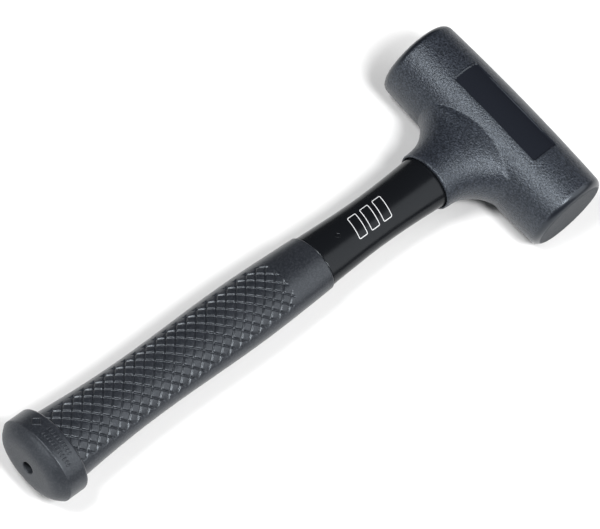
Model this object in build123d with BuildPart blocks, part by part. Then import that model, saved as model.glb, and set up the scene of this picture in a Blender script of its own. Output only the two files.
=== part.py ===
from build123d import *
import os
from math import cos, hypot, radians, sin, sqrt

os.makedirs("parts", exist_ok=True)

# A dead blow mallet lying on its side. X runs along the head, from face to face. Y runs along the
# handle, with the head at +Y and the butt at -Y. +Z is up, out of the broad side of the handle.
# The origin is under the middle of the whole mallet, at the bottom. All sizes are in millimetres.
# A station is a distance along the handle, from the head's axis towards the butt.

# Head moulding
head_length = 109.0
head_radius = 22.5
head_crown = 1.1  # the barrel's radius is smaller by this at its ends
face_edge_radius = 4.2
panel_length = 55.0
panel_width = 15.2
panel_floor_radius = 21.7
panel_corner_radius = 1.0

# Neck of the head moulding, from the collar to the barrel
collar_station = 47.3
collar_half_width = 15.5
collar_half_height = 12.4
collar_edge_radius = 0.7
collar_gap = 0.35
collar_gap_depth = 1.6
neck_draft = 0.057  # widening per millimetre before the flare
flare_station = 42.6
flare_radius = 23.9
flare_end_angle = 72.0
neck_root_station = 13.0
neck_root_half_width = 38.0
neck_root_half_height = 17.8

# Canister inside the barrel
canister_length = 86.0
canister_radius = 17.0
canister_wall = 2.0
cap_thickness = 3.0
cap_weld_leg = 1.2

# Shot inside the canister
ball_radius = 3.0
ball_gap = 0.05
shot_travel = 7.0  # each way along the head
shot_clearance = 0.3
shot_level = 4.0  # the highest ball centres, above the head's axis

# Sleeve on the canister, and the pins through it
socket_radius = 8.5
socket_end_station = 40.0
weld_leg = 3.0
pin_radius = 2.0
pin_wall = 0.6
pin_slit = 0.8
pin_length = 16.2
pin_stations = {"socket_pin_upper": 25.0, "socket_pin_lower": 34.0}

# Core of the handle
core_radius = 6.0
core_wall = 1.8
core_start_station = 18.0
core_end_station = 284.0
plug_length = 6.0
plug_head_thickness = 1.5

# Jacket of the handle: station, half width, half height
jacket_top_station = 29.0
shaft_sections = [
    (jacket_top_station, 14.3, 10.6),
    (collar_station, 14.1, 10.2),
    (55.0, 13.6, 9.7),
    (70.0, 12.9, 9.1),
    (85.0, 12.6, 8.8),
    (100.0, 12.9, 8.9),
    (112.0, 13.4, 9.2),
    (123.2, 13.9, 9.6),
]
tang_half_width = 12.4
tang_half_height = 8.2

# Grip: station, half width, half height
shoulder_station = 123.2
grip_sections = [
    (shoulder_station, 14.7, 10.3),
    (130.0, 15.0, 10.4),
    (155.0, 15.9, 10.8),
    (180.0, 16.1, 11.0),
    (205.0, 15.6, 10.6),
    (230.0, 15.3, 10.4),
    (250.0, 15.7, 10.7),
    (265.0, 16.5, 11.2),
    (284.0, 17.8, 12.1),
]
shoulder_edge_radius = 0.8
flange_half_width = 21.7
flange_half_height = 16.1
flange_station = 283.3
flange_front_radius = 1.4
flange_rear_radius = 6.2
butt_station = 299.5
tail_hole_radius = 3.0

# Places. The barrel rests on its crown at the two ends of the lower panel.
crown_arc_radius = (head_length**2 / 4 + head_crown**2) / (2 * head_crown)
axis_z = head_radius - crown_arc_radius + sqrt(crown_arc_radius**2 - panel_length**2 / 4)
head_y = (butt_station - head_radius) / 2
head_centre = (0, head_y, axis_z)
head_axis = Axis(head_centre, (1, 0, 0))
across_head = Plane(origin=head_centre, x_dir=(0, 1, 0), z_dir=(1, 0, 0))
along_head = Plane(origin=head_centre, x_dir=(1, 0, 0), z_dir=(0, -1, 0))


def across_handle(station):
    """The plane across the handle at a station. Its normal points to the butt."""
    return Plane(origin=(0, head_y - station, axis_z), x_dir=(1, 0, 0), z_dir=(0, -1, 0))


def oval_loft(sections):
    """A smooth solid through ovals, each given as station, half width and half height."""
    with BuildPart() as body:
        for station, half_width, half_height in sections:
            with BuildSketch(across_handle(station)):
                Ellipse(half_width, half_height)
        loft()
    return body.part


def handle_cylinder(radius, start_station, end_station):
    """A round bar on the handle's axis."""
    with BuildPart() as body:
        with BuildSketch(across_handle(start_station)):
            Circle(radius)
        extrude(amount=end_station - start_station)
    return body.part


def head_cylinder(radius, length):
    """A round bar on the head's axis, centred on the handle."""
    with BuildPart() as body:
        with BuildSketch(across_head):
            Circle(radius)
        extrude(amount=length / 2, both=True)
    return body.part


def neck_sections():
    """Ovals from the collar along the flare, an arc that starts along the handle."""
    steps = 7
    root_share = (collar_station - neck_root_station) / (neck_root_half_height - collar_half_height)
    sections = [(collar_station, collar_half_width, collar_half_height)]
    for step in range(steps + 1):
        angle = radians(flare_end_angle * step / steps)
        station = flare_station - flare_radius * sin(angle)
        from_collar = collar_station - station
        half_width = collar_half_width + neck_draft * from_collar + flare_radius * (1 - cos(angle))
        sections.append((station, half_width, collar_half_height + from_collar / root_share))
    return sections


def pin_plane(station):
    """The plane across a pin that crosses the handle at a station, along X."""
    return Plane(origin=(0, head_y - station, axis_z), x_dir=(0, 1, 0), z_dir=(1, 0, 0))


def roll_pin(station):
    """A slit spring pin."""
    with BuildPart() as pin:
        with BuildSketch(pin_plane(station)):
            Circle(pin_radius)
            Circle(pin_radius - pin_wall, mode=Mode.SUBTRACT)
            with Locations((-pin_radius, 0)):
                Rectangle(2 * pin_radius, pin_slit, mode=Mode.SUBTRACT)
        extrude(amount=pin_length / 2, both=True)
    return pin.part


def pin_holes():
    """Bars where the pins cross the handle, longer than the pins."""
    with BuildPart() as holes:
        for station in pin_stations.values():
            with BuildSketch(pin_plane(station)):
                Circle(pin_radius)
        extrude(amount=2 * socket_radius, both=True)
    return holes.part


def cap_weld_ring(side):
    """The ring of weld in the V groove between the canister's tube and the disc on one side."""
    seam_radius = canister_radius - canister_wall
    end_x = side * canister_length / 2
    with BuildPart() as ring:
        with BuildSketch(along_head):
            with BuildLine():
                Polyline(
                    (end_x, seam_radius - cap_weld_leg),
                    (end_x, seam_radius + cap_weld_leg),
                    (end_x - side * cap_weld_leg, seam_radius),
                    close=True,
                )
            make_face()
        revolve(axis=head_axis)
    return ring.part


def ball_centres():
    """Centres of balls packed in hexagonal layers along the head, in the canister's lower part."""
    pitch = 2 * ball_radius + ball_gap
    layer_pitch = pitch * sqrt(2 / 3)
    row_pitch = pitch * sqrt(3) / 2
    bore_limit = canister_radius - canister_wall - ball_radius - shot_clearance
    end_limit = canister_length / 2 - cap_thickness - shot_travel - ball_radius - shot_clearance
    layers = int(end_limit / layer_pitch)
    centres = []
    for layer in range(-layers, layers + 1):
        shift = layer % 2
        for row in range(-3, 4):
            z = row * row_pitch + shift * pitch / sqrt(12)
            for column in range(-3, 4):
                y = (column + (row % 2) / 2 + shift / 2) * pitch
                if hypot(y, z) <= bore_limit and z <= shot_level:
                    centres.append((layer * layer_pitch, head_y + y, axis_z + z))
    return centres


pin_hole_bars = pin_holes()
jacket_envelope = oval_loft(shaft_sections)
tang_envelope = oval_loft(
    [
        (shoulder_station, tang_half_width, tang_half_height),
        (core_end_station, tang_half_width, tang_half_height),
    ]
)
canister_envelope = head_cylinder(canister_radius, canister_length)

# Canister: a steel tube closed by two discs, set flush in its ends and welded all round
with BuildPart() as canister_tube:
    add(canister_envelope)
    add(head_cylinder(canister_radius - canister_wall, canister_length), mode=Mode.SUBTRACT)
    add(cap_weld_ring(1), mode=Mode.SUBTRACT)
    add(cap_weld_ring(-1), mode=Mode.SUBTRACT)
canister_tube.part.label = "canister_tube"
export_step(canister_tube.part, "parts/canister_tube.step")

for side, side_name in ((1, "near"), (-1, "far")):
    cap_weld = cap_weld_ring(side)
    cap_weld.label = f"cap_weld_{side_name}"
    export_step(cap_weld, f"parts/cap_weld_{side_name}.step")

    with BuildPart() as canister_cap:
        with BuildSketch(across_head.offset(side * canister_length / 2)):
            Circle(canister_radius - canister_wall)
        extrude(amount=-side * cap_thickness)
        add(cap_weld, mode=Mode.SUBTRACT)
    canister_cap.part.label = f"canister_cap_{side_name}"
    export_step(canister_cap.part, f"parts/canister_cap_{side_name}.step")

# Shot: loose steel balls, level on top because the mallet lies on its side
with BuildPart() as shot:
    with Locations(*ball_centres()):
        Sphere(ball_radius)
shot.part.label = "shot"
export_step(shot.part, "parts/shot.step")

# Sleeve, saddle-cut to the canister
with BuildPart() as handle_socket:
    add(handle_cylinder(socket_radius, 0, socket_end_station))
    add(handle_cylinder(core_radius, 0, socket_end_station), mode=Mode.SUBTRACT)
    add(canister_envelope, mode=Mode.SUBTRACT)
    add(pin_hole_bars, mode=Mode.SUBTRACT)
handle_socket.part.label = "handle_socket"
export_step(handle_socket.part, "parts/handle_socket.step")

# Fillet of weld round the foot of the sleeve: a cone at 45 degrees, cut to the canister and the sleeve
with BuildPart() as socket_weld:
    with BuildSketch(across_handle(0)):
        Circle(socket_radius + canister_radius + weld_leg)
    with BuildSketch(across_handle(canister_radius + weld_leg)):
        Circle(socket_radius)
    loft()
    add(canister_envelope, mode=Mode.SUBTRACT)
    add(handle_cylinder(socket_radius, 0, socket_end_station), mode=Mode.SUBTRACT)
    with BuildSketch(across_handle(0)):
        Circle(socket_radius + weld_leg)
    extrude(amount=socket_end_station, mode=Mode.INTERSECT)
socket_weld.part.label = "socket_weld"
export_step(socket_weld.part, "parts/socket_weld.step")

# Tubular core of the handle
with BuildPart() as core_tube:
    add(handle_cylinder(core_radius, core_start_station, core_end_station))
    add(
        handle_cylinder(core_radius - core_wall, core_start_station, core_end_station),
        mode=Mode.SUBTRACT,
    )
    add(pin_hole_bars, mode=Mode.SUBTRACT)
core_tube.part.label = "core_tube"
export_step(core_tube.part, "parts/core_tube.step")

for pin_name, pin_station in pin_stations.items():
    socket_pin = roll_pin(pin_station)
    socket_pin.label = pin_name
    export_step(socket_pin, f"parts/{pin_name}.step")

# Plugs that close the core's two ends before the jacket is moulded over it
with BuildPart() as core_plug_head:
    add(handle_cylinder(core_radius - core_wall, core_start_station, core_start_station + plug_length / 2))
core_plug_head.part.label = "core_plug_head"
export_step(core_plug_head.part, "parts/core_plug_head.step")

with BuildPart() as core_plug_tail:
    add(handle_cylinder(core_radius - core_wall, core_end_station - plug_length, core_end_station))
    add(handle_cylinder(core_radius, core_end_station, core_end_station + plug_head_thickness))
core_plug_tail.part.label = "core_plug_tail"
export_step(core_plug_tail.part, "parts/core_plug_tail.step")

# Jacket: the glossy shaft and, under the grip, a narrower tang
with BuildPart() as shaft_jacket:
    add(jacket_envelope)
    add(tang_envelope)
    add(handle_cylinder(core_radius, jacket_top_station, core_end_station), mode=Mode.SUBTRACT)
    add(handle_cylinder(socket_radius, jacket_top_station, socket_end_station), mode=Mode.SUBTRACT)
shaft_jacket.part.label = "shaft_jacket"
export_step(shaft_jacket.part, "parts/shaft_jacket.step")

# Grip: a rubber sleeve that ends in the butt flange, with the tail hole in its end
with BuildPart() as flange:
    with BuildSketch(across_handle(flange_station)):
        Ellipse(flange_half_width, flange_half_height)
    extrude(amount=butt_station - flange_station)
    fillet(flange.edges().sort_by(Axis.Y)[0], flange_rear_radius)
    fillet(flange.edges().sort_by(Axis.Y)[-1], flange_front_radius)

with BuildPart() as grip:
    add(oval_loft(grip_sections))
    fillet(grip.edges().sort_by(Axis.Y)[-1], shoulder_edge_radius)
    add(flange.part)
    add(tang_envelope, mode=Mode.SUBTRACT)
    add(
        handle_cylinder(core_radius, core_end_station, core_end_station + plug_head_thickness),
        mode=Mode.SUBTRACT,
    )
    add(handle_cylinder(tail_hole_radius, core_end_station, butt_station), mode=Mode.SUBTRACT)
grip.part.label = "grip"
export_step(grip.part, "parts/grip.step")

# Head moulding: a crowned barrel with the flared neck
with BuildPart() as barrel:
    end_radius = head_radius - head_crown
    with BuildSketch(along_head):
        with BuildLine():
            Line((-head_length / 2, 0), (-head_length / 2, end_radius))
            ThreePointArc(
                (-head_length / 2, end_radius), (0, head_radius), (head_length / 2, end_radius)
            )
            Line((head_length / 2, end_radius), (head_length / 2, 0))
            Line((head_length / 2, 0), (-head_length / 2, 0))
        make_face()
    revolve(axis=head_axis)
    rims = barrel.edges().filter_by(GeomType.CIRCLE).group_by(Axis.X)
    fillet(rims[0] + rims[-1], face_edge_radius)

with BuildPart() as neck:
    add(oval_loft(neck_sections()))
    fillet(neck.edges().sort_by(Axis.Y)[0], collar_edge_radius)
    flare_end_station, flare_end_half_width, flare_end_half_height = neck_sections()[-1]
    with BuildSketch(across_handle(flare_end_station)):
        Ellipse(flare_end_half_width, flare_end_half_height)
    with BuildSketch(across_handle(neck_root_station)):
        Ellipse(neck_root_half_width, neck_root_half_height)
    loft(ruled=True)

# The recessed panel on each broad side, as what is cut away
with BuildPart() as panel_cuts:
    with BuildSketch(Plane.XY.offset(axis_z)):
        with Locations((0, head_y)):
            RectangleRounded(panel_length, panel_width, panel_corner_radius)
    extrude(amount=2 * head_radius, both=True)
    add(head_cylinder(panel_floor_radius, head_length), mode=Mode.SUBTRACT)

with BuildPart() as head_shell:
    add(barrel.part)
    add(neck.part)
    add(panel_cuts.part, mode=Mode.SUBTRACT)
    add(canister_envelope, mode=Mode.SUBTRACT)
    add(socket_weld.part, mode=Mode.SUBTRACT)
    add(handle_cylinder(socket_radius, 0, jacket_top_station), mode=Mode.SUBTRACT)
    add(jacket_envelope, mode=Mode.SUBTRACT)
    with BuildSketch(across_handle(collar_station)):
        Ellipse(shaft_sections[1][1] + collar_gap, shaft_sections[1][2] + collar_gap)
    extrude(amount=-collar_gap_depth, mode=Mode.SUBTRACT)
head_shell.part.label = "head_shell"
export_step(head_shell.part, "parts/head_shell.step")
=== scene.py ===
import math

import bpy
import numpy as np
from mathutils import Matrix, Vector
from mathutils.bvhtree import BVHTree


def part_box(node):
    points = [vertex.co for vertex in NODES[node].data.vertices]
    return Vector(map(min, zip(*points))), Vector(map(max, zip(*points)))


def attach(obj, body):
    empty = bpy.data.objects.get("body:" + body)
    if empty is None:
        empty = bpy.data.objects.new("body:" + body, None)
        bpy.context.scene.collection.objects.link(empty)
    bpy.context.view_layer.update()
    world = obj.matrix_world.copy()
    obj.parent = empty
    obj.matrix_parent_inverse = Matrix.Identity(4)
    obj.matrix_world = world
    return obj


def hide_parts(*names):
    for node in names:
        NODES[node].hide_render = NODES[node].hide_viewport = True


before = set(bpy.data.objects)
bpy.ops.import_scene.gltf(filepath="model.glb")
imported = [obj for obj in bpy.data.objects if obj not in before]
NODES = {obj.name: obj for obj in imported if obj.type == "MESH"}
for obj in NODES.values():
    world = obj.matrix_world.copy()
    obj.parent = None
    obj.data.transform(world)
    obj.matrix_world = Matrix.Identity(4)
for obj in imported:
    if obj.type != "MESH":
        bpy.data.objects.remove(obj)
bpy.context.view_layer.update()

# A dead blow mallet on its side. X runs along the head, +Y to the head, +Z out of the broad side.
# Lengths in the constants below are in millimetres, and mesh code turns them into metres.
# A station is a distance along the handle, from the head's axis towards the butt.
MM = 0.001

TUBE_LOW, TUBE_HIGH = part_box("canister_tube")
HEAD_Y = (TUBE_LOW.y + TUBE_HIGH.y) / 2
AXIS_Z = (TUBE_LOW.z + TUBE_HIGH.z) / 2


def station_of(y):
    return (HEAD_Y - y) / MM


GRIP_LOW, GRIP_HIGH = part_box("grip")
HEAD_LOW, HEAD_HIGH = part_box("head_shell")
SHOULDER = station_of(GRIP_HIGH.y)
BUTT = station_of(GRIP_LOW.y)
COLLAR = station_of(HEAD_LOW.y)
HALF_HEAD = HEAD_HIGH.x / MM


# ---------------------------------------------------------------- meshes
RAY_START = 0.1
LEVEL_TOLERANCE = 0.001


def smooth_step(low, high, value):
    t = np.clip((value - low) / (high - low), 0, 1)
    return t * t * (3 - 2 * t)


def handle_points(across, station, height):
    """Metres from x, station and height above the handle's axis, all in millimetres."""
    across, station, height = np.broadcast_arrays(across, station, height)
    return np.stack([across * MM, HEAD_Y - station * MM, AXIS_Z + height * MM], axis=-1)


def add_object(name, mesh, body="mallet"):
    obj = bpy.data.objects.new(name, mesh)
    bpy.context.scene.collection.objects.link(obj)
    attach(obj, body)
    return obj


def mesh_from(name, points, faces, smooth=True):
    mesh = bpy.data.meshes.new(name)
    mesh.from_pydata(points, [], faces)
    mesh.validate()
    mesh.polygons.foreach_set("use_smooth", [smooth] * len(mesh.polygons))
    mesh.update()
    return mesh


def closed_rings(rings):
    """Points and quads of a tube that closes on itself both ways, from rings of equal length."""
    count, width = len(rings), len(rings[0])
    ring, column = np.meshgrid(np.arange(count), np.arange(width), indexing="ij")
    next_ring, next_column = (ring + 1) % count, (column + 1) % width
    corners = [ring * width + column, ring * width + next_column,
               next_ring * width + next_column, next_ring * width + column]
    return np.concatenate(rings), np.stack(corners, axis=-1).reshape(-1, 4)


def split_along_grooves(faces, depth):
    """Each quad whose corners lie at different depths becomes two triangles that meet along the
    more level diagonal, so that a slanting groove's walls come out straight."""
    at = depth[faces]
    first_drop = np.abs(at[:, 0] - at[:, 2])
    second_drop = np.abs(at[:, 1] - at[:, 3])
    uneven = at.max(1) - at.min(1) > LEVEL_TOLERANCE
    first = uneven & (first_drop <= second_drop)
    second = uneven & ~first
    triangles = [
        faces[first][:, [0, 1, 2]], faces[first][:, [0, 2, 3]],
        faces[second][:, [0, 1, 3]], faces[second][:, [1, 2, 3]],
    ]
    return faces[~uneven].tolist() + np.concatenate(triangles).tolist()


def tree_of(node):
    mesh = NODES[node].data
    points = [v.co for v in mesh.vertices]
    return BVHTree.FromPolygons(points, [p.vertices for p in mesh.polygons])


def half_size(tree, station, across):
    """Half the width or height of a node's outside at a station, in millimetres. The ray starts
    at RAY_START metres from the axis, well outside the mallet."""
    direction = Vector((1, 0, 0)) if across else Vector((0, 0, 1))
    centre = Vector((0, HEAD_Y - station * MM, AXIS_Z))
    hit = tree.ray_cast(centre + direction * RAY_START, -direction)[0]
    return (hit - centre).length / MM


def oval_sizes(node, stations):
    tree = tree_of(node)
    return (
        np.array([half_size(tree, s, True) for s in stations]),
        np.array([half_size(tree, s, False) for s in stations]),
    )


def oval(half_width, half_height, angle):
    return half_width * np.sin(angle), half_height * np.cos(angle)


def quarter_turn(step):
    """Angles up to a right angle, in even steps given in degrees."""
    return np.radians(np.arange(step, 91, step))


# ---------------------------------------------------------------- grip
KNURL_PITCH = 6.28
KNURL_STEP = KNURL_PITCH / 18
KNURL_PHASE_LEFT = 139.3
KNURL_PHASE_RIGHT = 138.52
KNURL_LEFT_ARC = 14.4
KNURL_RIGHT_ARC = 15.1
KNURL_HALF_ARC = 15.6
KNURL_FADE = 1.4
KNURL_START = 147.0
KNURL_START_FADE = (-0.6, 0.8)
KNURL_END_FADE = (-0.3, -1.2)
# the first row starts later towards its corners, measured by arc from a line near the middle
KNURL_MIDDLE = 1.0
KNURL_CORNER_LAG = 6.0
KNURL_CORNER_START = 10.0
KNURL_CORNER_REACH = 4.0
KNURL_CORNER_LIMIT = 1.2
GROOVE_HALF_WIDTH = 0.60
GROOVE_DEPTH = 0.80
GROOVE_ROUND_SHARE = 0.45
GROOVE_SHARPNESS = 1.2
PAD_CROWN = 0.12
SIDE_COLUMNS = 16
SMOOTH_STEP = 1.0
FLANGE_FRONT = 283.3
FLANGE_FRONT_RADIUS = 1.4
FLANGE_CREASE = 294.4
CREASE_ROUNDING = 0.5
CREASE_DROP = 0.3
DOME_POWER = 3
DOME_RINGS = 10
DOME_FIRST_RING = 0.06
BAND_STEP = 2.5
FLAT_END_RINGS = 4
FLANGE_REAR_INSET = 10.0
FLANGE_FILLET = 0.45
SHOULDER_ROUNDING = 0.8
SHOULDER_FACE_INSETS = (1.3, 1.0, 0.85)
TANG_HALF_WIDTH = 12.4
TANG_HALF_HEIGHT = 8.2
TANG_STEP = 20
PLUG_RADIUS = 6.0
PLUG_START = 284.0
PLUG_END = 285.5
HOLE_RADIUS = 3.0
HOLE_RIM = 0.45
HOLE_MIDDLE = 292.5


def arc_angles(half_width, half_height, half_arc):
    """Angles round an oval: even steps of arc near the two broad middles, the rest shared out."""
    quarter = np.linspace(0, math.pi / 2, 400)
    x, z = oval(half_width, half_height, quarter)
    arc = np.concatenate([[0], np.cumsum(np.hypot(np.diff(x), np.diff(z)))])
    broad = np.arange(-half_arc, half_arc + KNURL_STEP / 2, KNURL_STEP)
    top = np.sign(broad) * np.interp(np.abs(broad), arc, quarter)
    side_arc = np.linspace(half_arc, 2 * arc[-1] - half_arc, SIDE_COLUMNS + 1)[1:-1]
    side = np.where(
        side_arc <= arc[-1],
        np.interp(side_arc, arc, quarter),
        math.pi - np.interp(2 * arc[-1] - side_arc, arc, quarter),
    )
    return np.concatenate([top, side, math.pi - top[::-1], -side[::-1] + 2 * math.pi]), broad


def groove(distance):
    """Depth of a V groove with a rounded root and rounded lips, at a distance from its middle."""
    share = np.clip(np.abs(distance) / GROOVE_HALF_WIDTH, 0, 1)
    rounded = 1 - smooth_step(0, 1, share)
    sharp = (1 - share) ** GROOVE_SHARPNESS
    return GROOVE_DEPTH * (GROOVE_ROUND_SHARE * rounded + (1 - GROOVE_ROUND_SHARE) * sharp)


def from_nearest_line(place):
    """Signed distance from the nearest of the lines that repeat every pitch."""
    return (place + KNURL_PITCH / 2) % KNURL_PITCH - KNURL_PITCH / 2


def knurl(station, arc):
    """How far the surface lies below the smooth oval, in millimetres."""
    left = from_nearest_line(station - arc - KNURL_PHASE_LEFT)
    right = from_nearest_line(station + arc - KNURL_PHASE_RIGHT)
    depth = np.maximum(groove(left / math.sqrt(2)), groove(right / math.sqrt(2)))
    crown = PAD_CROWN * sum((1 - 2 * np.abs(line) / KNURL_PITCH) ** 2 for line in (left, right)) / 2
    corner = (np.abs(arc - KNURL_MIDDLE) - KNURL_CORNER_START) / KNURL_CORNER_REACH
    start = KNURL_START + KNURL_CORNER_LAG * np.clip(corner, 0, KNURL_CORNER_LIMIT) ** 2
    mask = (
        smooth_step(KNURL_RIGHT_ARC, KNURL_RIGHT_ARC - KNURL_FADE, arc)
        * smooth_step(-KNURL_LEFT_ARC, -KNURL_LEFT_ARC + KNURL_FADE, arc)
        * smooth_step(*[start + edge for edge in KNURL_START_FADE], station)
        * smooth_step(*[FLANGE_FRONT + edge for edge in KNURL_END_FADE], station)
    )
    return mask * (depth + crown)


def oval_ring(half_width, half_height, station, angles):
    x, z = oval(half_width, half_height, angles)
    return handle_points(x, station, z)


def shoulder_rings(half_width, half_height):
    """The bore at the shoulder, the flat face round it and the rounded front edge."""
    angles, _ = arc_angles(half_width, half_height, KNURL_HALF_ARC)
    rings = [oval_ring(TANG_HALF_WIDTH, TANG_HALF_HEIGHT, SHOULDER, angles)]
    for inset in SHOULDER_FACE_INSETS:
        rings.append(oval_ring(half_width - inset, half_height - inset, SHOULDER, angles))
    for turn in quarter_turn(10):
        inset = SHOULDER_ROUNDING * (1 - math.sin(turn))
        station = SHOULDER + SHOULDER_ROUNDING * (1 - math.cos(turn))
        rings.append(oval_ring(half_width - inset, half_height - inset, station, angles))
    return rings


def knurled_ring(station, half_width, half_height):
    """One ring of the grip's outside, how deep each point lies, and its angles."""
    angles, broad = arc_angles(half_width, half_height, KNURL_HALF_ARC)
    sunk = knurl(station, broad)
    depth = np.zeros(len(angles))
    depth[: len(broad)] = sunk
    start = len(broad) + SIDE_COLUMNS - 1
    depth[start : start + len(broad)] = sunk[::-1]
    x, z = oval(half_width, half_height, angles)
    normal_x, normal_z = x / half_width**2, z / half_height**2
    length = np.hypot(normal_x, normal_z)
    x, z = x - depth * normal_x / length, z - depth * normal_z / length
    return handle_points(x, station, z), depth, angles


def flange_profile():
    """Station and inset along the flange, from its front face to the flat end."""
    profile = [(FLANGE_FRONT, FLANGE_FRONT_RADIUS)]
    for turn in quarter_turn(10):
        profile.append((FLANGE_FRONT + FLANGE_FRONT_RADIUS * (1 - math.cos(turn)),
                        FLANGE_FRONT_RADIUS * (1 - math.sin(turn))))
    for station in np.arange(FLANGE_FRONT + 2, FLANGE_CREASE - 1, BAND_STEP):
        profile.append((station, 0.0))
    # a crisp crease, then a low dome
    for turn in np.linspace(0, math.pi / 2, 4):
        profile.append((FLANGE_CREASE - CREASE_ROUNDING * (1 - math.sin(turn)),
                        CREASE_DROP * (1 - math.cos(turn))))
    for share in np.linspace(DOME_FIRST_RING, 1.0, DOME_RINGS):
        rise = 1 - (1 - share) ** DOME_POWER
        profile.append((FLANGE_CREASE + (BUTT - FLANGE_CREASE) * rise,
                        CREASE_DROP + (FLANGE_REAR_INSET - CREASE_DROP) * share))
    return profile


def hole_rings(flat_width, flat_height, angles):
    """The flat end down to the rim of the hanging hole, the hole, and the bore for the core."""
    rings = []
    rim = HOLE_RADIUS + HOLE_RIM
    for share in np.linspace(0, 1, FLAT_END_RINGS + 1)[1:]:
        half_width = flat_width + (rim - flat_width) * share
        half_height = flat_height + (rim - flat_height) * share
        rings.append(oval_ring(half_width, half_height, BUTT, angles))
    for turn in quarter_turn(18):
        radius = rim - HOLE_RIM * math.sin(turn)
        rings.append(oval_ring(radius, radius, BUTT - HOLE_RIM * (1 - math.cos(turn)), angles))
    for half_width, half_height, station in (
        (HOLE_RADIUS, HOLE_RADIUS, HOLE_MIDDLE),
        (HOLE_RADIUS, HOLE_RADIUS, PLUG_END),
        (PLUG_RADIUS, PLUG_RADIUS, PLUG_END),
        (PLUG_RADIUS, PLUG_RADIUS, PLUG_START),
        (TANG_HALF_WIDTH, TANG_HALF_HEIGHT, PLUG_START),
    ):
        rings.append(oval_ring(half_width, half_height, station, angles))
    for station in np.arange(PLUG_START - TANG_STEP, SHOULDER + 5, -TANG_STEP):
        rings.append(oval_ring(TANG_HALF_WIDTH, TANG_HALF_HEIGHT, station, angles))
    return rings


def grip_rings():
    """Rings round the grip, and how deep each point lies in the knurl."""
    # sparse rows on the smooth shoulder, then close ones where it is knurled
    stations = np.concatenate([
        np.arange(SHOULDER + SMOOTH_STEP, KNURL_START - 2, SMOOTH_STEP),
        np.arange(KNURL_START - 1.5, FLANGE_FRONT - 0.5, KNURL_STEP),
    ])
    widths, heights = oval_sizes("grip", stations)
    rings, depths = shoulder_rings(widths[0], heights[0]), {}
    for station, half_width, half_height in zip(stations, widths, heights):
        ring, depth, angles = knurled_ring(station, half_width, half_height)
        depths[len(rings)] = depth
        rings.append(ring)
    # the little fillet between the grip and the flange
    for turn in quarter_turn(15):
        out = FLANGE_FILLET * (1 - math.cos(turn))
        station = stations[-1] + (FLANGE_FRONT - stations[-1]) * math.sin(turn)
        rings.append(oval_ring(widths[-1] + out, heights[-1] + out, station, angles))
    flange_width = GRIP_HIGH.x / MM
    flange_height = (GRIP_HIGH.z - AXIS_Z) / MM
    for station, inset in flange_profile():
        rings.append(oval_ring(flange_width - inset, flange_height - inset, station, angles))
    rings += hole_rings(flange_width - FLANGE_REAR_INSET, flange_height - FLANGE_REAR_INSET, angles)
    level = np.zeros(len(angles))
    return rings, np.concatenate([depths.get(number, level) for number in range(len(rings))])


def make_grip():
    rings, depth = grip_rings()
    points, faces = closed_rings(rings)
    faces = split_along_grooves(faces, depth)
    grip = add_object("grip_rubber", mesh_from("grip_rubber", points, faces))
    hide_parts("grip")
    return grip


# ---------------------------------------------------------------- shaft
SHAFT_COLUMNS = 160
SHAFT_FRONT = 29.0
SOCKET_END = 40.0
SOCKET_RADIUS = 8.5
CORE_RADIUS = 6.0
NECK_STATIONS = (35, 41)
TANG_RINGS = 9
CORE_RINGS = 13


def make_shaft():
    # sizes are read just inside the two ends, and the end rings then move out to them
    stations = np.concatenate([
        [SHAFT_FRONT + 0.3, *NECK_STATIONS],
        np.arange(COLLAR - 2, SHOULDER - 0.2, 1.0),
        [SHOULDER - 0.05],
    ])
    widths, heights = oval_sizes("shaft_jacket", stations)
    stations[0], stations[-1] = SHAFT_FRONT, SHOULDER
    angles = np.linspace(0, 2 * math.pi, SHAFT_COLUMNS, endpoint=False)
    sections = list(zip(widths, heights, stations))
    for station in np.linspace(SHOULDER, PLUG_START, TANG_RINGS):
        sections.append((TANG_HALF_WIDTH, TANG_HALF_HEIGHT, station))
    for station in np.linspace(PLUG_START, SOCKET_END, CORE_RINGS):
        sections.append((CORE_RADIUS, CORE_RADIUS, station))
    for station in (SOCKET_END, SHAFT_FRONT):
        sections.append((SOCKET_RADIUS, SOCKET_RADIUS, station))
    points, faces = closed_rings([oval_ring(*section, angles) for section in sections])
    shaft = add_object("shaft_gloss", mesh_from("shaft_gloss", points, faces))
    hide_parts("shaft_jacket")
    return shaft


# ---------------------------------------------------------------- marks
SHAFT_MARK_REACH = np.arange(70.0, 118.0, 1.0)
FLANGE_MARK_REACH = np.arange(FLANGE_FRONT + 1.6, FLANGE_CREASE, 0.5)
MARK_STROKE = 0.38
MARK_PROUD = 0.03
MARK_STATIONS = (80.2, 88.4, 96.6)
MARK_LENGTH = 5.6
MARK_SLANT = 2.4
MARK_ACROSS = (-5.6, 6.2)
MARK_CORNER = 0.9
MIN_INNER_CORNER = 0.15
STRIP_SUNK = 0.1
SHAFT_LOZENGE = ((106.4, -1.25), (108.3, 0.35), (110.2, -1.25), (108.3, -2.85))
SHAFT_LOZENGE_STROKE = 0.4
SHAFT_LOZENGE_PROUD = 0.12
SHAFT_LOZENGE_CORNER = 0.4
FLANGE_LOZENGE = ((285.6, -10.9), (288.6, -7.9), (291.6, -10.9), (288.6, -13.9))
FLANGE_LOZENGE_STROKE = 0.5
FLANGE_LOZENGE_CORNER = 0.8
RAISED_PROUD = 0.45
# each row of pips: station, where it starts across, how many
PIP_ROWS = ((286.2, -5.6, 10), (289.6, -5.0, 12))
PIP_PITCH = 1.62
PIP_LENGTH = 2.0
PIP_WIDTH = 0.75
PIP_CORNER = 0.2
PIP_EDGE = 0.12
PIP_EDGE_DROP = 0.1
PIP_INNER_CORNER = 0.05
PIP_SUNK = 0.15


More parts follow.
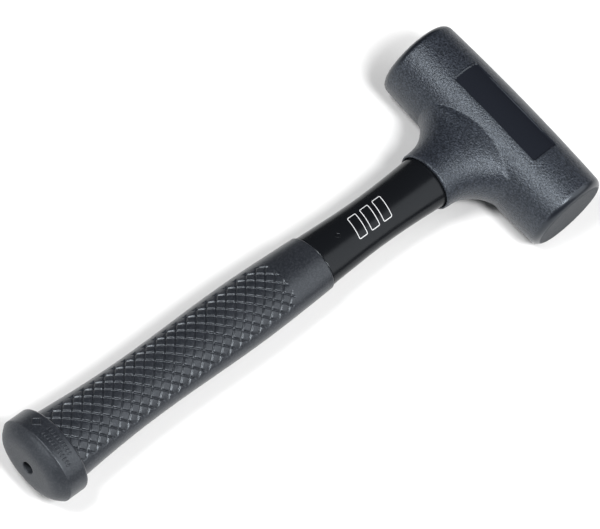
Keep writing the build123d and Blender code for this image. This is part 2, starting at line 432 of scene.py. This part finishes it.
def with_neighbours(corners):
    """Each corner of a polygon, between the one before it and the one after it."""
    corners = [np.array(c, dtype=float) for c in corners]
    return zip(corners[-1:] + corners[:-1], corners, corners[1:] + corners[:1])


def unit(vector):
    return vector / np.linalg.norm(vector)


def rounded_loop(corners, radius, edge_points=8, corner_points=6):
    """Points round a polygon in the plane, with its corners rounded."""
    loop = []
    for before, corner, after in with_neighbours(corners):
        start = corner + unit(before - corner) * radius
        end = corner + unit(after - corner) * radius
        for share in np.linspace(0, 1, corner_points):
            rest = 1 - share
            loop.append(start * rest**2 + corner * 2 * share * rest + end * share**2)
        next_start = after + unit(corner - after) * radius
        for share in np.linspace(0, 1, edge_points + 2)[1:-1]:
            loop.append(end + (next_start - end) * share)
    return np.array(loop)


def inset_polygon(corners, distance):
    """The polygon moved inwards by a distance. Its corners run clockwise in (station, across)."""
    moved = []
    for before, corner, after in with_neighbours(corners):
        first, second = unit(corner - before), unit(after - corner)
        first_normal = np.array([first[1], -first[0]])
        second_normal = np.array([second[1], -second[0]])
        bisector = first_normal + second_normal
        moved.append(corner + bisector * distance / (1 + float(first_normal @ second_normal)))
    return moved


class Surface:
    """The outside of a node between two stations, for laying marks on it."""

    def __init__(self, node, stations):
        self.stations = stations
        self.widths, self.heights = oval_sizes(node, stations)

    def lay(self, loop, proud):
        """Points in metres from a loop of (station, arc from the top), raised by a height."""
        width = np.interp(loop[:, 0], self.stations, self.widths)
        height = np.interp(loop[:, 0], self.stations, self.heights)
        # near the top the arc is close to x, and the cubic term corrects for the curve
        across = loop[:, 1] - height**2 * loop[:, 1] ** 3 / (6 * width**4)
        up = height * np.sqrt(1 - (across / width) ** 2)
        normal_x, normal_z = across / width**2, up / height**2
        length = np.hypot(normal_x, normal_z)
        across, up = across + proud * normal_x / length, up + proud * normal_z / length
        return handle_points(across, loop[:, 0], up)


def outlined(surface, corners, stroke, proud, radius):
    """A closed strip along a polygon's edge, as printed or moulded on the surface."""
    outer = rounded_loop(corners, radius)
    inner = rounded_loop(inset_polygon(corners, stroke), max(radius - stroke, MIN_INNER_CORNER))
    section = ((outer, -STRIP_SUNK), (outer, proud), (inner, proud), (inner, -STRIP_SUNK))
    return closed_rings([surface.lay(loop, height) for loop, height in section])


def raised(surface, corners, proud, radius):
    """A low pad with a soft edge, moulded on the surface."""
    inner_radius = max(radius - PIP_EDGE, PIP_INNER_CORNER)
    outer = rounded_loop(corners, radius, 2, 4)
    inner = rounded_loop(inset_polygon(corners, PIP_EDGE), inner_radius, 2, 4)
    section = ((outer, -PIP_SUNK), (outer, proud - PIP_EDGE_DROP), (inner, proud))
    width = len(outer)
    points = np.concatenate([surface.lay(loop, height) for loop, height in section])
    faces = [
        [ring * width + c, ring * width + (c + 1) % width,
         (ring + 1) * width + (c + 1) % width, (ring + 1) * width + c]
        for ring in range(2) for c in range(width)
    ]
    faces += [list(range(2 * width, 3 * width)), list(reversed(range(width)))]
    return points, faces


def joined(parts):
    points, faces, count = [], [], 0
    for part_points, part_faces in parts:
        points.append(part_points)
        faces += [[int(corner) + count for corner in face] for face in part_faces]
        count += len(part_points)
    return np.concatenate(points), faces


def slanted_bar(station, length, across, slant):
    low, high = across
    return [
        (station, low), (station + slant, high),
        (station + slant + length, high), (station + length, low),
    ]


def make_printed_mark():
    """Three outlined bars printed on the shaft."""
    shaft = Surface("shaft_jacket", SHAFT_MARK_REACH)
    parts = []
    for middle in MARK_STATIONS:
        station = middle - (MARK_LENGTH + MARK_SLANT) / 2
        bar = slanted_bar(station, MARK_LENGTH, MARK_ACROSS, MARK_SLANT)
        parts.append(outlined(shaft, bar, MARK_STROKE, MARK_PROUD, MARK_CORNER))
    mesh = mesh_from("printed_mark", *joined(parts), smooth=False)
    return add_object("printed_mark", mesh)


def make_moulded_marks():
    """A small raised lozenge on the shaft, and a lozenge and two rows of pips on the flange."""
    shaft = Surface("shaft_jacket", SHAFT_MARK_REACH)
    shaft_mark = mesh_from("shaft_pip", *outlined(
        shaft, SHAFT_LOZENGE, SHAFT_LOZENGE_STROKE, SHAFT_LOZENGE_PROUD, SHAFT_LOZENGE_CORNER
    ))
    flange = Surface("grip", FLANGE_MARK_REACH)
    parts = [outlined(
        flange, FLANGE_LOZENGE, FLANGE_LOZENGE_STROKE, RAISED_PROUD, FLANGE_LOZENGE_CORNER
    )]
    for station, first, count in PIP_ROWS:
        for number in range(count):
            across = first + PIP_PITCH * number
            pip = slanted_bar(station, PIP_LENGTH, (across, across + PIP_WIDTH), 0.0)
            parts.append(raised(flange, pip, RAISED_PROUD, PIP_CORNER))
    flange_marks = mesh_from("flange_pips", *joined(parts))
    return (
        add_object("shaft_pip", shaft_mark),
        add_object("flange_pips", flange_marks),
    )


# ---------------------------------------------------------------- head
HEAD_WELD = 0.01
HEAD_VOXEL = 0.45
HEAD_SOFTEN_FACTOR = 0.5
HEAD_SOFTEN_STEPS = 3
HEAD_RADIUS = 22.5
HEAD_CROWN = 1.1
PANEL_HALF_LENGTH = 27.5
PANEL_HALF_WIDTH = 7.6
PANEL_CORNER = 1.0
PANEL_FLOOR_RADIUS = 21.7
PANEL_REACH = 0.9
PANEL_WALL = 0.16
PANEL_LAYER = 1.5
# a point of the head this far above or below its axis lies on a broad side, where a panel is
BROAD_SIDE = 15.0
# a smooth band runs round each end, from here to here short of the striking face
END_BAND = (3.6, 2.2)
# where the grain fades, outside the panel's outline, and where the panel's look sets in
PANEL_RIM_FADE = (0.7, 0.3)
PANEL_LOOK_FADE = (0.25, -0.05)
# how far short of the end the striking face's look sets in
FACE_FADE = (0.5, 0.15)


def make_head():
    """The moulding again as an even mesh, with its creases and edges softened as moulded."""
    source = NODES["head_shell"].data.copy()
    head = add_object("head_moulding", source)
    weld = head.modifiers.new("weld", "WELD")
    weld.merge_threshold = HEAD_WELD * MM
    remesh = head.modifiers.new("remesh", "REMESH")
    remesh.mode = "VOXEL"
    remesh.voxel_size = HEAD_VOXEL * MM
    remesh.adaptivity = 0
    soften = head.modifiers.new("soften", "SMOOTH")
    soften.factor = HEAD_SOFTEN_FACTOR
    soften.iterations = HEAD_SOFTEN_STEPS
    graph = bpy.context.evaluated_depsgraph_get()
    mesh = bpy.data.meshes.new_from_object(head.evaluated_get(graph))
    head.modifiers.clear()
    head.data = mesh
    mesh.name = "head_moulding"
    mesh.polygons.foreach_set("use_smooth", [True] * len(mesh.polygons))
    mesh.materials.clear()
    sharpen_panels(mesh)
    mark_grain(mesh)
    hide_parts("head_shell")
    return head


def panel_distance(x, y):
    """Signed distance to a panel's rounded outline, below 0 inside, and its direction outwards."""
    reach_x = np.abs(x) - (PANEL_HALF_LENGTH - PANEL_CORNER)
    reach_y = np.abs(y) - (PANEL_HALF_WIDTH - PANEL_CORNER)
    corner = np.hypot(np.maximum(reach_x, 0), np.maximum(reach_y, 0))
    distance = corner + np.minimum(np.maximum(reach_x, reach_y), 0) - PANEL_CORNER
    divisor = np.maximum(corner, 1e-9)
    out_x = np.where(corner > 0, np.maximum(reach_x, 0) / divisor, reach_x > reach_y)
    out_y = np.where(corner > 0, np.maximum(reach_y, 0) / divisor, reach_x <= reach_y)
    return distance, out_x * np.sign(x), out_y * np.sign(y)


def head_points(mesh):
    """The vertices in millimetres from the middle of the head's axis."""
    co = np.empty(len(mesh.vertices) * 3, dtype=np.float32)
    mesh.vertices.foreach_get("co", co)
    return co.reshape(-1, 3).astype(float) / MM - np.array([0, HEAD_Y, AXIS_Z]) / MM


def sharpen_panels(mesh):
    """Gives the recessed panels a level floor and a crisp wall, which the even mesh rounds off."""
    co = head_points(mesh)
    x, y, z = co.T
    distance, out_x, out_y = panel_distance(x, y)
    outside = (np.hypot(y, z) > PANEL_FLOOR_RADIUS - PANEL_LAYER) & (np.abs(z) > BROAD_SIDE)
    near = outside & (distance < PANEL_REACH)
    share = np.clip(np.abs(distance) / PANEL_REACH, 0, 1)
    new_distance = np.sign(distance) * (PANEL_WALL / 2 + (PANEL_REACH - PANEL_WALL / 2) * share**2)
    move = np.where(np.abs(distance) < PANEL_REACH, new_distance - distance, 0)
    x, y = x + out_x * move, y + out_y * move
    crown = HEAD_CROWN * (x / HALF_HEAD) ** 2
    radius = np.where(distance < 0, PANEL_FLOOR_RADIUS, HEAD_RADIUS - crown)
    co[near] = np.stack([x, y, np.sign(z) * np.sqrt(np.maximum(radius**2 - y**2, 0))], 1)[near]
    co = (co + np.array([0, HEAD_Y, AXIS_Z]) / MM) * MM
    mesh.vertices.foreach_set("co", co.astype(np.float32).ravel())
    mesh.update()


def mark_grain(mesh):
    """Point attributes from 0 to 1: the sand grain, which also places the painted glints, the
    smooth panels and the striking faces.
    """
    x, y, z = head_points(mesh).T
    distance, _, _ = panel_distance(x, y)
    broad = np.abs(z) > BROAD_SIDE
    rim = smooth_step(*PANEL_RIM_FADE, distance) * broad
    band, face = (
        smooth_step(HALF_HEAD - start, HALF_HEAD - end, np.abs(x))
        for start, end in (END_BAND, FACE_FADE)
    )
    for name, values in (
        ("grain", (1 - rim) * (1 - band)),
        ("panel", smooth_step(*PANEL_LOOK_FADE, distance) * broad),
        ("face", face),
    ):
        attribute = mesh.attributes.new(name, "FLOAT", "POINT")
        attribute.data.foreach_set("value", values.astype(np.float32))


# ---------------------------------------------------------------- materials
CREASE_Y = HEAD_Y - FLANGE_CREASE * MM
# Principled's base colour, and the tint of its gloss
HEAD_BASE, HEAD_PANEL = (0.0066, 0.0080, 0.0115, 1), (0.0095, 0.0110, 0.0155, 1)
# the head's lighter speck colour is a painted glint: specks that stand in for light caught by the
# sand grain's facets
HEAD_PAINTED_GLINT, HEAD_TINT = (0.032, 0.037, 0.048, 1), (0.82, 0.91, 1.0, 1)
SHAFT_BASE, SHAFT_TINT = (0.0050, 0.0056, 0.0068, 1), (0.88, 0.94, 1.0, 1)
RUBBER_BASE, RUBBER_WORN = (0.0095, 0.0110, 0.0142, 1), (0.0140, 0.0156, 0.0196, 1)
RUBBER_SPECK, RUBBER_TINT = (0.0270, 0.0295, 0.0350, 1), (0.86, 0.93, 1.0, 1)
INK_THIN, INK_FULL = (0.52, 0.53, 0.54, 1), (0.68, 0.69, 0.70, 1)
PLUG_BASE = (0.02, 0.02, 0.022, 1)
# depths of the bumps in millimetres
HEAD_GRAIN, RUBBER_GRAIN, SHAFT_RIPPLE = 0.34, 0.13, 0.02
STEEL_SCRATCH, PLUG_GRAIN, INK_EDGE = 0.03, 0.03, 0.01
COARSE_SHARE, FINE_SHARE = 0.7, 0.3
STEEL_DULL = 0.7
# name of the steel, colour, roughness, size of its scratches in millimetres, and its pieces
STEELS = (
    ("shot_steel", (0.55, 0.55, 0.56), 0.28, 0.4, ("shot",)),
    ("canister_steel", (0.50, 0.50, 0.51), 0.38, 0.4,
     ("canister_tube", "canister_cap_near", "canister_cap_far", "handle_socket")),
    ("weld_steel", (0.42, 0.38, 0.34), 0.45, 0.9, ("cap_weld_near", "cap_weld_far", "socket_weld")),
    ("core_steel", (0.56, 0.56, 0.57), 0.3, 0.4, ("core_tube",)),
    ("pin_steel", (0.35, 0.34, 0.33), 0.35, 0.4, ("socket_pin_upper", "socket_pin_lower")),
)


class Tree:
    """A few short calls for building a material's nodes."""

    def __init__(self, name):
        self.material = bpy.data.materials.new(name)
        self.material.use_nodes = True
        self.nodes = self.material.node_tree.nodes
        self.links = self.material.node_tree.links
        self.shader = self.nodes["Principled BSDF"]
        self.coords = self.nodes.new("ShaderNodeTexCoord").outputs["Object"]

    def put(self, value, socket):
        if isinstance(value, bpy.types.NodeSocket):
            self.links.new(value, socket)
        else:
            socket.default_value = value

    def noise(self, size, detail=2.0, roughness=0.5):
        """Noise whose lumps are about the given size in millimetres, from 0 to 1."""
        node = self.nodes.new("ShaderNodeTexNoise")
        node.inputs["Scale"].default_value = 1 / (size * MM)
        node.inputs["Detail"].default_value = detail
        node.inputs["Roughness"].default_value = roughness
        self.links.new(self.coords, node.inputs["Vector"])
        return node.outputs["Fac"]

    def along_handle(self):
        """The place along the handle, in metres of Y."""
        node = self.nodes.new("ShaderNodeSeparateXYZ")
        self.links.new(self.coords, node.inputs["Vector"])
        return node.outputs["Y"]

    def math(self, operation, a, b=0.0):
        node = self.nodes.new("ShaderNodeMath")
        node.operation = operation
        self.put(a, node.inputs[0])
        self.put(b, node.inputs[1])
        return node.outputs[0]

    def remap(self, value, low, high, new_low, new_high):
        node = self.nodes.new("ShaderNodeMapRange")
        for number, socket in zip((value, low, high, new_low, new_high), node.inputs):
            self.put(number, socket)
        return node.outputs[0]

    def mix(self, share, first, second):
        """A blend of two colours. The node has sockets of the same name for every data type."""
        node = self.nodes.new("ShaderNodeMix")
        node.data_type = "RGBA"
        self.put(share, node.inputs["Factor"])
        colours = [socket for socket in node.inputs if socket.type == "RGBA"]
        for value, socket in zip((first, second), colours):
            self.put(value, socket)
        return next(socket for socket in node.outputs if socket.type == "RGBA")

    def attribute(self, name):
        node = self.nodes.new("ShaderNodeAttribute")
        node.attribute_name = name
        return node.outputs["Fac"]

    def bump(self, height, depth, strength=1.0):
        """Bump from a height of 0 to 1 that stands for the given depth in millimetres."""
        node = self.nodes.new("ShaderNodeBump")
        node.inputs["Distance"].default_value = depth * MM
        self.put(strength, node.inputs["Strength"])
        self.put(height, node.inputs["Height"])
        return node.outputs["Normal"]

    def lumps(self, coarse, fine):
        """A height from coarse noise with a little fine noise on it."""
        coarse = self.math("MULTIPLY", coarse, COARSE_SHARE)
        return self.math("ADD", coarse, self.math("MULTIPLY", fine, FINE_SHARE))

    def finish(self, **inputs):
        for name, value in inputs.items():
            self.put(value, self.shader.inputs[name.replace("_", " ")])
        return self.material


def head_plastic():
    """Sand-grained plastic with lighter specks painted into the colour as glints off the grain, and
    smoother panels and more matt faces.
    """
    tree = Tree("head_plastic")
    grain, panel, face = (tree.attribute(name) for name in ("grain", "panel", "face"))
    height = tree.lumps(tree.noise(0.9, 1.0), tree.noise(0.3, 1.0))
    # painted glints: lighter specks put into the colour where the grain's facets would catch light
    painted_glint = tree.remap(tree.noise(0.85, 2.0), 0.40, 0.66, 0.0, 1.0)
    colour = tree.mix(panel, HEAD_BASE, HEAD_PANEL)
    colour = tree.mix(tree.math("MULTIPLY", painted_glint, grain), colour, HEAD_PAINTED_GLINT)
    textured = tree.math("MAXIMUM", grain, tree.math("MULTIPLY", face, 0.7))
    rough = tree.remap(grain, 0, 1, 0.30, 0.34)
    rough = tree.math("SUBTRACT", rough, tree.math("MULTIPLY", panel, 0.12))
    rough = tree.math("ADD", rough, tree.math("MULTIPLY", face, 0.35))
    return tree.finish(
        Base_Color=colour, Roughness=rough, Specular_IOR_Level=0.55, Specular_Tint=HEAD_TINT,
        Normal=tree.bump(height, HEAD_GRAIN, tree.remap(textured, 0, 1, 0.03, 1.0)),
    )


def shaft_plastic():
    """Glossy plastic with faint smears and a slight ripple."""
    tree = Tree("shaft_plastic")
    return tree.finish(
        Base_Color=SHAFT_BASE, Roughness=tree.remap(tree.noise(14, 3.0), 0.35, 0.7, 0.20, 0.26),
        Specular_IOR_Level=0.22, Specular_Tint=SHAFT_TINT,
        Normal=tree.bump(tree.noise(6, 1.0), SHAFT_RIPPLE, 0.3),
    )


def grip_rubber():
    """Satin rubber with a fine mottle, a little more matt on the domed end."""
    tree = Tree("grip_rubber")
    fine = tree.noise(0.35, 2.0)
    mottle = tree.noise(0.8, 2.0)
    worn = tree.remap(tree.noise(12, 3.0), 0.35, 0.7, 0, 1)
    colour = tree.mix(worn, RUBBER_BASE, RUBBER_WORN)
    colour = tree.mix(tree.remap(mottle, 0.42, 0.68, 0.0, 0.8), colour, RUBBER_SPECK)
    end = tree.remap(tree.along_handle(), CREASE_Y + MM, CREASE_Y - MM, 0.0, 0.14)
    return tree.finish(
        Base_Color=colour, Roughness=tree.math("ADD", tree.remap(fine, 0.3, 0.7, 0.30, 0.38), end),
        Specular_IOR_Level=0.5, Specular_Tint=RUBBER_TINT,
        Normal=tree.bump(tree.lumps(mottle, fine), RUBBER_GRAIN, 0.8),
    )


def steel(name, colour, roughness, scratch_size):
    tree = Tree(name)
    fine = tree.noise(scratch_size, 3.0)
    dull = [channel * STEEL_DULL for channel in colour]
    patches = tree.remap(tree.noise(8, 2.0), 0.3, 0.7, 0, 0.5)
    return tree.finish(
        Base_Color=tree.mix(patches, (*colour, 1), (*dull, 1)), Metallic=1.0,
        Roughness=tree.remap(fine, 0.3, 0.7, roughness * 0.8, roughness * 1.25),
        Normal=tree.bump(fine, STEEL_SCRATCH, 0.4),
    )


def white_ink():
    tree = Tree("white_ink")
    worn = tree.remap(tree.noise(0.8, 3.0), 0.25, 0.75, 0.0, 1.0)
    return tree.finish(
        Base_Color=tree.mix(worn, INK_THIN, INK_FULL), Roughness=0.45,
        Normal=tree.bump(worn, INK_EDGE, 0.3),
    )


def plug_plastic():
    tree = Tree("plug_plastic")
    fine = tree.noise(0.5, 2.0)
    return tree.finish(
        Base_Color=PLUG_BASE, Roughness=tree.remap(fine, 0.3, 0.7, 0.45, 0.6),
        Normal=tree.bump(fine, PLUG_GRAIN, 0.4),
    )


def dress(obj, material):
    obj.data.materials.clear()
    obj.data.materials.append(material)


# ---------------------------------------------------------------- camera, lights and floor
AIM = Vector((-0.0029, 0.0100, 0.0222))
CAMERA_AZIMUTH = 21.97
CAMERA_ELEVATION = 56.0
CAMERA_ROLL = 28.4
CAMERA_DISTANCE = 1.475
LENS_MM = 193.8
SENSOR_MM = 36.0
CAMERA_CLIP_END = 10.0


def make_camera():
    data = bpy.data.cameras.new("camera")
    data.lens = LENS_MM
    data.sensor_width = SENSOR_MM
    data.clip_end = CAMERA_CLIP_END
    camera = bpy.data.objects.new("camera", data)
    bpy.context.scene.collection.objects.link(camera)
    turn = (
        Matrix.Rotation(math.radians(CAMERA_AZIMUTH), 4, "Z")
        @ Matrix.Rotation(math.radians(90 - CAMERA_ELEVATION), 4, "X")
        @ Matrix.Rotation(math.radians(CAMERA_ROLL), 4, "Z")
    )
    back = turn.to_3x3() @ Vector((0, 0, 1))
    camera.matrix_world = Matrix.Translation(AIM + CAMERA_DISTANCE * back) @ turn
    bpy.context.scene.camera = camera


LIGHT_DISTANCE = 1.5
WORLD_STRENGTH = 0.03
FLOOR_COLOUR = (0.78, 0.78, 0.78, 1)
FLOOR_HALF = 3.0
# name, azimuth from +Y towards +X, elevation, diameter in metres, watts
LIGHTS = [
    ("key", 202, 58, 0.45, 19.0),
    ("side", 110, 61, 0.42, 19.0),
    ("front_low", 182, 18, 0.6, 2.5),
    ("back_right", 48, 44, 1.7, 14.5),
]


def make_lights():
    centre = Vector((0, 0, AXIS_Z))
    for name, azimuth, elevation, diameter, watts in LIGHTS:
        azimuth, elevation = math.radians(azimuth), math.radians(elevation)
        direction = Vector((
            math.cos(elevation) * math.sin(azimuth),
            math.cos(elevation) * math.cos(azimuth),
            math.sin(elevation),
        ))
        data = bpy.data.lights.new(name, "AREA")
        data.shape = "DISK"
        data.size = diameter
        data.energy = watts
        light = bpy.data.objects.new(name, data)
        bpy.context.scene.collection.objects.link(light)
        light.matrix_world = (
            Matrix.Translation(centre + LIGHT_DISTANCE * direction)
            @ direction.to_track_quat("Z", "Y").to_matrix().to_4x4()
        )
    world = bpy.data.worlds.new("world")
    bpy.context.scene.world = world
    world.use_nodes = True
    background = world.node_tree.nodes["Background"]
    background.inputs["Color"].default_value = (1, 1, 1, 1)
    background.inputs["Strength"].default_value = WORLD_STRENGTH
    bpy.context.scene.view_settings.view_transform = "Standard"


def make_floor():
    """A plain, matt, pale floor under the whole view."""
    low, high = -FLOOR_HALF, FLOOR_HALF
    corners = [(low, low, 0), (high, low, 0), (high, high, 0), (low, high, 0)]
    mesh = mesh_from("floor", corners, [(0, 1, 2, 3)], smooth=False)
    floor = bpy.data.objects.new("floor", mesh)
    bpy.context.scene.collection.objects.link(floor)
    tree = Tree("floor")
    dress(floor, tree.finish(Base_Color=FLOOR_COLOUR, Roughness=0.9, Specular_IOR_Level=0.0))


make_camera()
make_lights()
make_floor()
rubber, gloss = grip_rubber(), shaft_plastic()
dress(make_grip(), rubber)
dress(make_shaft(), gloss)
dress(make_printed_mark(), white_ink())
shaft_pip, flange_pips = make_moulded_marks()
dress(shaft_pip, gloss)
dress(flange_pips, rubber)
dress(make_head(), head_plastic())
for name, colour, roughness, scratch_size, pieces in STEELS:
    material = steel(name, colour, roughness, scratch_size)
    for piece in pieces:
        dress(NODES[piece], material)
plug = plug_plastic()
for piece in ("core_plug_head", "core_plug_tail"):
    dress(NODES[piece], plug)
